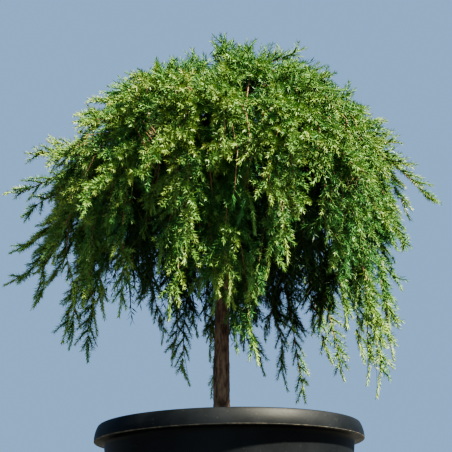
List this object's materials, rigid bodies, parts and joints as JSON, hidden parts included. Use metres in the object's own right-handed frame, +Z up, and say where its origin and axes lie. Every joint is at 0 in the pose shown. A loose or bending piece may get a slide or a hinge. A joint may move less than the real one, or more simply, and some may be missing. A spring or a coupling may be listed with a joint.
{
  "type": "weeping conifer standard in a nursery pot",
  "caption": "Weeping needled conifer grown as a mop-headed standard on a single bare trunk, standing in a black round nursery pot.",
  "frame": {"origin": "middle of the flat underside of the pot", "axes": "+Z up along the pot's axis; -Y is the front, the side that the picture shows; +X to the right of that view"},
  "size_m": [0.4848, 0.4885, 0.6833],
  "materials": {
    "pot_plastic": "black moulded plastic, satin",
    "soil": "dark crumbly potting compost",
    "bark": "rough fissured brown bark",
    "foliage": "short fresh green needles"
  },
  "bodies": {
    "root": {"pot": "pot_plastic", "soil": "soil", "trunk": "bark", "skirt_bough_1": "bark", "skirt_bough_2": "bark", "skirt_bough_3": "bark", "skirt_bough_4": "bark", "skirt_bough_5": "bark", "skirt_bough_6": "bark", "skirt_bough_7": "bark", "skirt_bough_8": "bark", "skirt_bough_9": "bark", "upper_bough_1": "bark", "upper_bough_2": "bark", "upper_bough_3": "bark", "upper_bough_4": "bark", "upper_bough_5": "bark", "skirt_foliage_1": "foliage", "skirt_foliage_2": "foliage", "skirt_foliage_3": "foliage", "skirt_foliage_4": "foliage", "skirt_foliage_5": "foliage", "skirt_foliage_6": "foliage", "skirt_foliage_7": "foliage", "skirt_foliage_8": "foliage", "skirt_foliage_9": "foliage", "upper_foliage_1": "foliage", "upper_foliage_2": "foliage", "upper_foliage_3": "foliage", "upper_foliage_4": "foliage", "upper_foliage_5": "foliage", "top_foliage": "foliage"}
  },
  "joints": []
}
